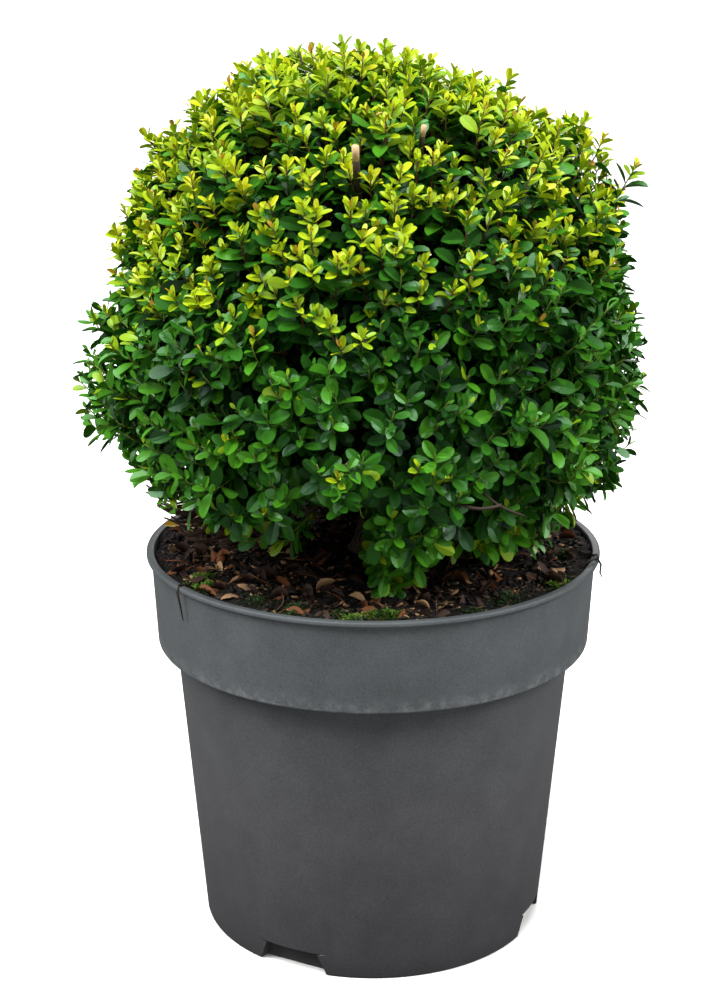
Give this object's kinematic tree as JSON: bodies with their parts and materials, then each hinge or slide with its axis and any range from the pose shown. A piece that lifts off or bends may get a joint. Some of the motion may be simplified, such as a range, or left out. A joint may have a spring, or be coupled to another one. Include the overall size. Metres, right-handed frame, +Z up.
{
  "type": "potted japanese holly ball",
  "caption": "Small-leaved evergreen shrub clipped to a ball on a short forked stem, growing in a round nursery container with a deep collar; a garden or patio plant.",
  "frame": {"origin": "middle of the pot's flat underside", "axes": "+Z up along the pot's axis, -Y towards the viewer of the picture, +X to that viewer's right"},
  "size_m": [0.3538, 0.3431, 0.5539],
  "materials": {
    "pot": "matt dark grey moulded polypropylene, scuffed along the collar",
    "soil": "dark crumbly potting mix with bark chips and fallen leaves",
    "bark": "grey-brown bark, finely fissured",
    "foliage": "glossy leaves, dark green below and lime green on the new growth"
  },
  "bodies": {
    "root": {"pot": "pot", "soil": "soil", "trunk": "bark", "bough_leader": "bark", "bough_side_1": "bark", "bough_side_2": "bark", "bough_side_3": "bark", "bough_side_4": "bark", "bough_side_5": "bark", "bough_low_1": "bark", "bough_low_2": "bark", "bough_low_3": "bark", "bough_low_4": "bark", "bough_low_5": "bark", "foliage_ball": "foliage", "foliage_skirt_1": "foliage", "foliage_skirt_2": "foliage", "foliage_skirt_3": "foliage", "foliage_skirt_4": "foliage", "foliage_skirt_5": "foliage"}
  },
  "joints": []
}
